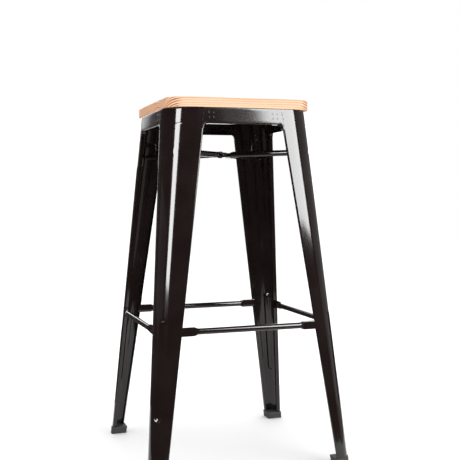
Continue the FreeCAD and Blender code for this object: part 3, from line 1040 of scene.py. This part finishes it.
@dataclass
class BraceBar:
    """Diagonal tube, pressed flat at the crossing, its flat ends turned down against the legs."""

    taper: Taper
    upper: bool
    height: float
    diameter: float = 12.7 * MM
    middle_flat: float = 6.2 * MM
    end_flat: float = 3.0 * MM
    tab_length: float = 22.0 * MM
    fit: float = 0.1 * MM
    middle_length: float = 15.0 * MM
    press_length: float = 18.0 * MM
    turn: float = 4.5 * MM
    hollow: float = 0.75 * MM
    ring_points: int = 40

    def section(self, thick: float) -> list[Point]:
        """Ring across the tube once pressed to a thickness, (across, up).

        Args:
            thick: The thickness.

        Returns:
            The points of the ring.
        """
        wide = thick + (self.diameter - thick) * RIGHT_ANGLE
        squareness = 2.0 / (2.0 + 3.0 * (1.0 - thick / self.diameter))
        ring = []
        for step in range(self.ring_points):
            angle = 2 * math.pi * step / self.ring_points
            c, s = math.cos(angle), math.sin(angle)
            across = math.copysign(abs(c) ** squareness, c) * wide / 2
            ring.append((across, math.copysign(abs(s) ** squareness, s) * thick / 2))
        return ring

    def half_path(self) -> list[tuple[float, float, float, float]]:
        """From the crossing outwards: place along the diagonal, place up, thickness, turn down.

        Returns:
            The points, from the middle.
        """
        end = self.taper.corner(self.height, self.taper.sheet) - self.hollow - self.fit
        lift = (self.middle_flat + self.fit) / 2 * (1 if self.upper else -1)
        drawn_in = self.taper.corner(0.0) - self.taper.corner(self.taper.frame_top)
        lean = math.atan(drawn_in / self.taper.frame_top)
        bend_x = end - self.end_flat / 2 - self.turn
        path = []
        for x in spread(0.0, bend_x, 60):
            middle = 1.0 - smooth_step(self.middle_length, self.middle_length + self.press_length, x)
            outer = smooth_step(bend_x - self.press_length, bend_x - 3.0 * MM, x)
            thick = self.diameter + (self.middle_flat - self.diameter) * middle
            thick += (self.end_flat - self.diameter) * outer
            path.append((x, lift * middle, thick, 0.0))
        last = RIGHT_ANGLE - lean
        for angle in spread(0.0, last, 8)[1:]:
            path.append((bend_x + self.turn * math.sin(angle), -self.turn * (1 - math.cos(angle)),
                         self.end_flat, angle))
        x, up, thick, _ = path[-1]
        for run in spread(0.0, self.tab_length - self.turn, 8)[1:]:
            path.append((x + run * math.cos(last), up - run * math.sin(last), thick, last))
        return path

    def build(self, paint: bpy.types.Material) -> None:
        """Build the bar across the stool.

        Args:
            paint: The frame's finish.
        """
        node = f"brace_bar_{'upper' if self.upper else 'lower'}"
        maker = MeshMaker(f"{node}_tube")
        rings = []
        half = self.half_path()
        both = [(-x, up, thick, -angle) for x, up, thick, angle in reversed(half[1:])] + half
        for x, up, thick, angle in both:
            tilt = Vector((math.sin(angle), 0, math.cos(angle)))
            rings.append([Vector((x, 0, up)) + Vector((0, across, 0)) + tilt * rise
                          for across, rise in self.section(thick)])
        maker.solid(rings)
        maker.place(quarter_turns(0.5 if self.upper else 1.5))
        maker.place(Matrix.Translation((0, 0, self.height)))
        hand_over(maker.build(sharp=60.0), paint, [node])


def lathe(maker: MeshMaker, profile: Sequence[Point], origin: Vector, steps: int = 32) -> None:
    """Add a solid turned about Z.

    Args:
        maker: The mesh to add to.
        profile: Radius and height of each ring, upwards.
        origin: Foot of the axis.
        steps: Points round each ring.
    """
    rings = []
    for radius, height in profile:
        angles = [2 * math.pi * step / steps for step in range(steps)]
        rings.append([origin + Vector((radius * math.cos(a), radius * math.sin(a), height)) for a in angles])
    maker.solid(rings)


@dataclass
class CentreRivet:
    """Rivet with two low domes that holds the brace bars where they cross."""

    low: float
    high: float
    head: float = 1.4 * MM
    head_radius: float = 5.0 * MM
    shank_radius: float = 3.0 * MM

    def build(self, paint: bpy.types.Material) -> None:
        """Build the rivet.

        Args:
            paint: The frame's finish.
        """
        arc = [(self.head_radius * math.sin(angle), self.head * math.cos(angle))
               for angle in spread(0.15, RIGHT_ANGLE, 7)]
        below = [(radius, self.low + self.head - rise) for radius, rise in arc]
        above = [(radius, self.high - self.head + rise) for radius, rise in reversed(arc)]
        shank = [(self.shank_radius, self.low + self.head), (self.shank_radius, self.high - self.head)]
        maker = MeshMaker("brace_centre_rivet_domed")
        lathe(maker, below + shank + above, Vector((0, 0, 0)))
        hand_over(maker.build(), paint, ["brace_centre_rivet"])


# ------------------------------------------------------------------ seat


@dataclass
class Seat:
    """Edge-glued boards on a sheet pan, held by screws from below."""

    taper: Taper
    bottom: float
    top: float
    half: float
    corner: float = 39.5 * MM
    rim: float = 2.5 * MM
    arris: float = 0.6 * MM
    joint: float = 0.25 * MM
    board_count: int = 4
    pan_skirt: float = 8.0 * MM
    pan_bend: float = 2.2 * MM
    pan_fit: float = 0.15 * MM
    screw_inset: float = 48.0 * MM

    @property
    def board_width(self) -> float:
        """Width of one board."""
        return self.half * 2 / self.board_count

    def board_outline(self, index: int) -> list[Point]:
        """Plan of one board, counter-clockwise, with the seat's round corners on the outer boards.

        Args:
            index: Place of the board, from the front.

        Returns:
            The points.
        """
        low = -self.half + self.board_width * index
        high = low + self.board_width
        middle = self.half - self.corner

        left, right = ([quarter_arc((sign * middle, back * middle), self.corner, start, 24)
                        for sign, back, start in ends]
                       for ends in (((-1, -1, math.pi), (-1, 1, RIGHT_ANGLE)),
                                    ((1, -1, 3 * RIGHT_ANGLE), (1, 1, 0.0))))
        bottom = [(-self.half, low), (self.half, low)]
        top = [(self.half, high), (-self.half, high)]
        if index == 0:
            bottom = left[0] + right[0]
        if index == self.board_count - 1:
            top = right[1] + left[1]
        return bottom + top

    def build_board(self, index: int, wood: bpy.types.Material) -> None:
        """Build one board, its outer rim rounded and its glue joints just broken.

        Args:
            index: Place of the board, from the front.
            wood: The boards' finish.
        """
        node = f"seat_board_{index + 1}"
        maker = MeshMaker(f"{node}_planed")
        plan = self.board_outline(index)
        maker.solid([[Vector((x, y, z)) for x, y in plan] for z in (self.bottom, self.top)])
        board = maker.build()
        weights = board.data.attributes.new("bevel_weight_edge", "FLOAT", "EDGE")
        edges = (-self.half + self.board_width * index, -self.half + self.board_width * (index + 1))
        for edge in board.data.edges:
            first, second = (board.data.vertices[i].co for i in edge.vertices)
            if abs(first.z - second.z) > 1.0 * MM:
                continue
            on_joint = any(max(abs(first.y - y), abs(second.y - y)) < NEAR and abs(y) < self.half - NEAR
                           for y in edges)
            below = max(first.z, second.z) < self.bottom + NEAR
            size = self.joint if on_joint else self.arris if below else self.rim
            weights.data[edge.index].value = size / self.rim
        rounding = board.modifiers.new("rim", "BEVEL")
        rounding.limit_method = "WEIGHT"
        rounding.width = self.rim
        rounding.segments = 5
        apply_modifiers(board)
        hand_over(board, wood, [node])

    def build_pan(self, paint: bpy.types.Material) -> None:
        """Build the pan: a plate whose rim bends down into a skirt.

        Args:
            paint: The frame's finish.
        """
        inset = self.taper.sheet + self.pan_fit
        half = self.taper.half(self.bottom) - inset
        radius = self.taper.radius(self.bottom) - inset
        rows = [self.rounded(half * share, radius * share, self.bottom) for share in (0.02, 0.3, 0.6, 0.85)]
        for angle in spread(0.0, RIGHT_ANGLE, 6):
            shrink = self.pan_bend * (1 - math.sin(angle))
            drop = self.pan_bend * (1 - math.cos(angle))
            rows.append(self.rounded(half - shrink, radius - shrink, self.bottom - drop))
        low = self.bottom - self.pan_skirt
        rows.append(self.rounded(self.taper.half(low) - inset, self.taper.radius(low) - inset, low))
        maker = MeshMaker("seat_pan_pressed")
        made = maker.grid(rows, close=True)
        maker.mesh.faces.new(list(reversed(made[0])))
        bmesh.ops.recalc_face_normals(maker.mesh, faces=maker.mesh.faces)
        maker.mesh.faces.ensure_lookup_table()
        if maker.mesh.faces[-1].normal.z < 0:
            bmesh.ops.reverse_faces(maker.mesh, faces=maker.mesh.faces)
        pan = maker.build(solid=False)
        thicken(pan, self.taper.sheet)
        hand_over(pan, paint, ["seat_pan"])

    def rounded(self, half: float, radius: float, height: float) -> Row:
        """Ring of points round a square with round corners.

        Args:
            half: Half the square's width.
            radius: Radius of its corners.
            height: Height of the ring.

        Returns:
            The points.
        """
        ring = []
        middle = half - radius
        for turns, (sign_x, sign_y) in enumerate(((1, 1), (-1, 1), (-1, -1), (1, -1))):
            arc = quarter_arc((sign_x * middle, sign_y * middle), radius, turns * RIGHT_ANGLE, 14)
            ring += [Vector((x, y, height)) for x, y in arc]
        return ring

    def screw_places(self) -> list[Vector]:
        """Two screws in each board, on its middle line, where the heads meet the pan.

        Returns:
            The places.
        """
        places = []
        for index in range(self.board_count):
            y = -self.half + self.board_width * (index + 0.5)
            for x in (self.screw_inset - self.half, self.half - self.screw_inset):
                places.append(Vector((x, y, self.bottom - self.taper.sheet)))
        return places

    def build_screws(self, steel: bpy.types.Material) -> None:
        """Build the pan-head screws, each a low dome with a cross recess, and a shank.

        Args:
            steel: The screws' finish.
        """
        tree = Pattern("pan_head_screws", steel, {
            "Head Radius": 4.0 * MM, "Head Height": 2.4 * MM, "Shank Radius": 1.9 * MM,
            "Shank Length": 13.0 * MM, "Recess": 1.0 * MM})
        radius, tall, recess = (tree.read(name) for name in ("Head Radius", "Head Height", "Recess"))
        ball = tree.node("GeometryNodeMeshUVSphere", {}, {"Segments": 24, "Rings": 12, "Radius": radius})
        x, y, z = tree.place()
        head = tree.node("GeometryNodeSetPosition", {}, {
            "Geometry": tree.moved(ball, Scale=tree.join(1.0, 1.0, tall / radius)),
            "Position": tree.join(x, y, tree.math("MINIMUM", z, 0.0))})
        cut = tree.add("GeometryNodeMeshBoolean", {"operation": "DIFFERENCE"}, {"Mesh 1": head})
        for size in (tree.join(radius * 1.1, recess, tall), tree.join(recess, radius * 1.1, tall)):
            bar = tree.node("GeometryNodeMeshCube", {}, {"Size": size})
            tree.feed(cut.inputs["Mesh 2"], tree.moved(bar, Translation=tree.join(0.0, 0.0, tall * -1.0)))
        long = tree.read("Shank Length")
        shank = tree.node("GeometryNodeMeshCylinder", {}, {
            "Vertices": 16, "Radius": tree.read("Shank Radius"), "Depth": long})
        both = tree.add("GeometryNodeJoinGeometry", {}, {0: Wire(tree, cut.outputs[0])})
        tree.feed(both.inputs[0], tree.moved(shank, Translation=tree.join(0.0, 0.0, long * 0.5)))
        screws = tree.repeat(Wire(tree, both.outputs[0]))
        thing = tree.finish("seat_screws_cross_head", screws, self.screw_places())
        hand_over(thing, steel, ["seat_screws"])

    def build(self, woods: Sequence[bpy.types.Material], paint: bpy.types.Material,
              steel: bpy.types.Material) -> None:
        """Build boards, pan and screws.

        Args:
            woods: The boards' finishes, from the front.
            paint: The frame's finish.
            steel: The screws' finish.
        """
        for index, wood in enumerate(woods):
            self.build_board(index, wood)
        self.build_pan(paint)
        self.build_screws(steel)


# ------------------------------------------------------------------ welds and feet


@dataclass
class SeamWelds:
    """Ground-down weld over each joint between a leg and an apron strip, still a little uneven."""

    taper: Taper
    half_width: float = 3.4 * MM
    rise: float = 0.11 * MM
    sunk: float = 0.04 * MM
    body: float = 0.5 * MM
    length_steps: int = 40

    def row(self, share: float, phase: float, sign: int) -> Row:
        """Points across the weld at a share of its length from the top, in the side's frame.

        Args:
            share: Place along the weld.
            phase: Start of the weld's unevenness.
            sign: -1 for the left seam, 1 for the right one.

        Returns:
            The points.
        """
        taper = self.taper
        top, low = taper.opening(taper.frame_top), taper.opening(taper.ear_bottom)
        length = (taper.frame_top - taper.ear_bottom) * taper.stretch
        run = share * length / MM
        wander = 0.5 * MM * math.sin(run / 3.1 + phase)
        rough = 0.62 + 0.38 * math.sin(run / 1.35 + phase * 2.0) * math.sin(run / 4.7 + phase)
        points = []
        for across in spread(-1.0, 1.0, 10):
            lift = self.rise * rough * dome(across, 1.0) - self.sunk
            x = top + (low - top) * share + taper.seam + across * self.half_width + wander
            points.append(Vector((sign * x, -lift, -share * length)))
        return points if sign > 0 else points[::-1]

    def build(self, paint: bpy.types.Material) -> None:
        """Build all welds as one piece.

        Args:
            paint: The frame's finish.
        """
        maker = MeshMaker("apron_seam_welds")
        for side in Side:
            frame = self.taper.side(side.value, self.taper.frame_top)
            for sign in (-1, 1):
                phase = 1.9 * side.value + 0.8 * sign
                rows = [self.row(share, phase, sign) for share in spread(0.02, 0.97, self.length_steps)]
                maker.grid([[frame @ point for point in row][::-1] for row in rows])
        welds = maker.build(solid=False)
        thicken(welds, self.body)
        hand_over(welds, paint)


@dataclass
class SpotWelds:
    """Small round marks where the apron strips are spot-welded to the tabs behind them."""

    taper: Taper
    radius: float = 2.1 * MM
    rise: float = 0.05 * MM
    from_seam: float = 9.5 * MM
    pitch: float = 9.5 * MM
    from_top: float = 11.0 * MM

    def places(self) -> list[Vector]:
        """Centres of the marks on all four sides.

        Returns:
            The centres.
        """
        spots = []
        seam = self.taper.opening(self.taper.frame_top) + self.taper.seam
        for side in Side:
            frame = self.taper.side(side.value, self.taper.frame_top)
            for sign in (-1, 1):
                for column in range(2):
                    for row in range(2):
                        x = sign * (seam - self.from_seam - self.pitch * column)
                        spots.append(frame @ Vector((x, 0, -self.from_top - self.pitch * row)))
        return spots

    def build(self, paint: bpy.types.Material) -> None:
        """Build all marks as one piece.

        Args:
            paint: The frame's finish.
        """
        tree = Pattern("spot_weld_marks", paint, {
            "Radius": self.radius, "Rise": self.rise, "Lean": math.atan(self.taper.slope)})
        radius = tree.read("Radius")
        ball = tree.node("GeometryNodeMeshUVSphere", {}, {"Segments": 20, "Rings": 10, "Radius": radius})
        disc = tree.moved(ball, Scale=tree.join(1.0, 1.0, tree.read("Rise") / radius))
        smooth = tree.node("GeometryNodeSetShadeSmooth", {}, {0: disc, "Shade Smooth": True})
        x, y, _ = tree.place()
        wider = tree.node("FunctionNodeCompare", {"operation": "GREATER_THAN"}, {0: abs(x), 1: abs(y)})
        out_x, out_y = (tree.node("GeometryNodeSwitch", {"input_type": "FLOAT"},
                                  {"Switch": wider, "False": first, "True": second})
                        for first, second in ((0.0, tree.math("SIGN", x)), (tree.math("SIGN", y), 0.0)))
        away = tree.join(out_x, out_y, tree.math("TANGENT", tree.read("Lean")))
        turn = tree.node("FunctionNodeAlignRotationToVector", {"axis": "Z"}, {"Vector": away})
        marks = tree.repeat(smooth, Rotation=turn)
        hand_over(tree.finish("apron_spot_welds", marks, self.places()), paint)


@dataclass
class Foot:
    """Rubber foot that wraps the lower end of a leg."""

    taper: Taper
    corner: Corner
    height: float
    margin: float = 2.0 * MM
    small_radius: float = 3.0 * MM
    edge: float = 1.0 * MM
    groove_share: float = 0.45
    groove_depth: float = 0.6 * MM

    def ring(self, height: float, shrink: float) -> Row:
        """Outline at one height, drawn in by shrink.

        Args:
            height: Height over the floor.
            shrink: How far it is drawn in.

        Returns:
            The points.
        """
        outer = self.taper.half(height) + self.margin - shrink
        inner = self.taper.opening(height) - self.margin + shrink
        big = self.taper.radius(height) + self.margin - shrink
        small = self.small_radius - shrink
        corners = [(outer, outer, big, 0.0), (inner, outer, small, 0.5), (inner, inner, small, 1.0),
                   (outer, inner, small, 1.5)]
        ring = []
        for x, y, radius, start in corners:
            centre = (x + radius * (-1 if x == outer else 1), y + radius * (-1 if y == outer else 1))
            ring += [Vector((*point, height)) for point in quarter_arc(centre, radius, start * math.pi, 14)]
        return ring

    def build(self, rubber: bpy.types.Material) -> None:
        """Build the foot under its leg.

        Args:
            rubber: The foot's finish.
        """
        node = f"foot_{self.corner.name.lower()}"
        maker = MeshMaker(f"{node}_moulded")
        rings = [self.ring(0.0, self.edge)]
        for angle in spread(0.0, RIGHT_ANGLE, 4)[1:]:
            rings.append(self.ring(self.edge * (1 - math.cos(angle)), self.edge * (1 - math.sin(angle))))
        groove, depth = self.height * self.groove_share, self.groove_depth
        for step, shrink in ((-2, 0.0), (-1, depth), (1, depth), (2, 0.0)):
            rings.append(self.ring(groove + step * depth, shrink))
        for angle in spread(0.0, RIGHT_ANGLE, 4):
            drop = self.edge * (1 - math.sin(angle))
            rings.append(self.ring(self.height - drop, self.edge * (1 - math.cos(angle))))
        maker.solid(rings)
        maker.place(quarter_turns(self.corner.value))
        hand_over(maker.build(), rubber, [node])


# ------------------------------------------------------------------ studio


class Role(Enum):
    """What a lamp lights: mirror-like reflections or matt surfaces."""

    SHINE = 0
    FILL = 1


@dataclass(frozen=True)
class Lamp:
    """A flat lamp: its place, the way it shines, its size and brightness, and what it lights."""

    name: str
    centre: Vector
    facing: Vector
    size: Point
    radiance: float
    role: Role = Role.SHINE

    def hang(self, kept_off: bpy.types.Collection) -> None:
        """Hang the lamp.

        Args:
            kept_off: The pieces that a lamp for mirror-like reflections is kept off.
        """
        data = bpy.data.lights.new(self.name, "AREA")
        data.shape = "RECTANGLE"
        data.size, data.size_y = self.size
        data.energy = self.radiance * self.size[0] * self.size[1] * math.pi
        lamp = bpy.data.objects.new(self.name, data)
        lamp.location = self.centre
        lamp.rotation_euler = self.facing.to_track_quat("-Z", "Y").to_euler()
        lamp.visible_camera = False
        lamp.visible_diffuse = self.role is not Role.SHINE
        lamp.visible_glossy = self.role is not Role.FILL
        if self.role is Role.SHINE:
            lamp.light_linking.receiver_collection = kept_off
        bpy.context.collection.objects.link(lamp)


def soft_box(name: str, azimuths: Point, elevations: Point, radiance: float, role: Role = Role.SHINE,
             distance: float = 2.6) -> Lamp:
    """A lamp that fills a window of directions as seen from the stool's middle.

    Args:
        name: The lamp's name.
        azimuths: Its sides, in degrees from the front towards the right.
        elevations: Its lower and upper edge, in degrees.
        radiance: Its brightness.
        role: What it lights.
        distance: Its distance.

    Returns:
        The lamp.
    """
    azimuth, elevation = (math.radians(sum(edges) / 2) for edges in (azimuths, elevations))
    way = Vector((math.sin(azimuth) * math.cos(elevation), -math.cos(azimuth) * math.cos(elevation),
                  math.sin(elevation)))
    wide, tall = (2 * distance * math.tan(math.radians(high - low) / 2)
                  for low, high in (azimuths, elevations))
    return Lamp(name, Vector((0, 0, 0.6)) + way * distance, -way, (wide, tall), radiance, role)


TO_FRONT = Vector((0, -1, 0))
LAMPS = (
    soft_box("key_shine", (21.3, 54.5), (4.1, 42.0), 17.5),
    soft_box("key_edge", (16.5, 21.3), (6.0, 42.0), 0.8),
    soft_box("key_fill", (21.0, 54.5), (6.0, 42.0), 1.9, Role.FILL),
    soft_box("right_card", (64.0, 122.0), (-20.0, 40.0), 0.30),
    soft_box("left_strip", (-70.5, -53.5), (1.9, 45.0), 20.0, distance=2.4),
    soft_box("left_card", (-132.0, -82.0), (-7.0, 8.0), 0.15),
    Lamp("white_card", Vector((1.03, 2.0, 1.25)), TO_FRONT, (2.93, 2.5), 2.8),
    Lamp("apron_card", Vector((-0.108, 0.75, 0.82)), TO_FRONT, (0.40, 0.30), 1.4),
)


@dataclass
class Studio:
    """Pale floor, soft lights and the camera."""

    camera_place: tuple[float, float, float] = (-0.5706, -1.7684, 0.5628)
    yaw: float = -18.513
    pitch: float = -2.374
    roll: float = -0.388
    focal: float = 65.6
    sensor: float = 36.0
    floor_reach: float = 6.0
    floor_middle: float = 0.52
    middle_glow: float = 0.02
    surround_glow: float = 0.22
    fill: tuple[Colour, float] = ((1.0, 1.0, 1.0), 1.14)
    reflected: tuple[Colour, float] = ((1.0, 0.9, 0.9), 0.06)
    backdrop: tuple[Colour, float] = ((1.0, 1.0, 1.0), 1.0)
    matt: Sequence[bpy.types.Object] = ()

    @cached_property
    def flagged(self) -> bpy.types.Collection:
        """The matt pieces, which the lamps for mirror-like reflections are kept off.

        Returns:
            The collection.
        """
        group = bpy.data.collections.new("kept_off")
        for piece in self.matt:
            group.objects.link(piece)
        for member in group.collection_objects:
            member.light_linking.link_state = "EXCLUDE"
        return group

    def build_camera(self) -> None:
        """Make the scene's camera."""
        data = bpy.data.cameras.new("camera")
        data.lens, data.sensor_width = self.focal, self.sensor
        yaw, pitch = math.radians(self.yaw), math.radians(self.pitch)
        ahead = Vector((-math.sin(yaw) * math.cos(pitch), math.cos(yaw) * math.cos(pitch), math.sin(pitch)))
        right = Vector((math.cos(yaw), math.sin(yaw), 0.0))
        up = right.cross(ahead)
        axes = Matrix((right, up, -ahead)).transposed().to_4x4()
        camera = bpy.data.objects.new("camera", data)
        camera.matrix_world = (Matrix.Translation(self.camera_place) @ axes
                               @ Matrix.Rotation(math.radians(self.roll), 4, "Z"))
        bpy.context.collection.objects.link(camera)
        bpy.context.scene.camera = camera

    def build_world(self) -> None:
        """White for the camera, and a dim soft fill for what the stool reflects."""
        world = bpy.data.worlds.new("studio")
        bpy.context.scene.world = world
        world.use_nodes = True
        graph = Graph(world.node_tree)
        fill, dark, white = (
            graph.node("ShaderNodeBackground", {}, {"Color": (*colour, 1.0), "Strength": strength})
            for colour, strength in (self.fill, self.reflected, self.backdrop))
        shine, camera = (graph.node("ShaderNodeLightPath", {}, {}, ray)
                         for ray in ("Is Glossy Ray", "Is Camera Ray"))
        lit = graph.node("ShaderNodeMixShader", {}, {0: shine, 1: fill, 2: dark})
        seen = graph.node("ShaderNodeMixShader", {}, {0: camera, 1: lit, 2: white})
        graph.add("ShaderNodeOutputWorld", {}, {"Surface": seen})

    def build_floor(self) -> None:
        """Lay the floor: a middle that the stool reflects, and a wide surround that it doesn't."""
        lines = (-self.floor_reach, -self.floor_middle, self.floor_middle, self.floor_reach)
        for name, in_middle, glow in (("floor_middle", True, self.middle_glow),
                                      ("floor_surround", False, self.surround_glow)):
            maker = MeshMaker(name)
            for i in range(3):
                for j in range(3):
                    if (i == j == 1) == in_middle:
                        maker.grid([[Vector((x, y, 0.0)) for x in lines[i:i + 2]] for y in lines[j:j + 2]])
            floor = maker.build(solid=False)
            floor.data.materials.append(PaleFloor(name=f"pale_{name}", glow=glow).material())
            floor.visible_glossy = in_middle

    def build(self) -> None:
        """Set up floor, lights and camera."""
        bpy.context.scene.view_settings.view_transform = "Standard"
        self.build_floor()
        self.build_world()
        for lamp in LAMPS:
            lamp.hang(self.flagged)
        self.build_camera()


# ------------------------------------------------------------------ the stool


def main() -> None:
    """Build the stool around the frame."""
    logging.basicConfig(level=logging.INFO, format="%(name)s %(message)s")
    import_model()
    leg_low, leg_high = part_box("leg_back_right")
    _, seat_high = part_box("seat_board_1")
    rail_low, rail_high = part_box("footrest_front")
    rivet_low, rivet_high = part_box("brace_centre_rivet")
    _, foot_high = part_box("foot_back_right")

    taper = Taper(frame_top=leg_high[2])
    paint = BlackPaint().material()
    steel = ZincSteel().material()
    rubber = FootRubber().material()
    seat = Seat(taper, bottom=leg_high[2], top=seat_high[2], half=seat_high[0])
    seat.build([wood.material() for wood in BOARDS], paint, steel)

    rail_height = (rail_low[2] + rail_high[2]) / 2
    brace_height = (rivet_low[2] + rivet_high[2]) / 2
    for side in Side:
        Apron(taper, side).build(paint)
        rail = FootrestRail(taper, side, rail_height, rail_high[0])
        rail.build(paint)
    for corner in Corner:
        Leg(taper, leg_low[2], corner, rail_height, rail.flat_width, brace_height).build(paint)
        Foot(taper, corner, foot_high[2]).build(rubber)
    for upper in (True, False):
        BraceBar(taper, upper, brace_height).build(paint)
    CentreRivet(rivet_low[2], rivet_high[2]).build(paint)
    SpotWelds(taper).build(paint)
    SeamWelds(taper).build(paint)
    Studio(matt=[bpy.data.objects[f"seat_board_{i + 1}_planed"] for i in range(seat.board_count)]).build()


if __name__ == "__main__":
    main()
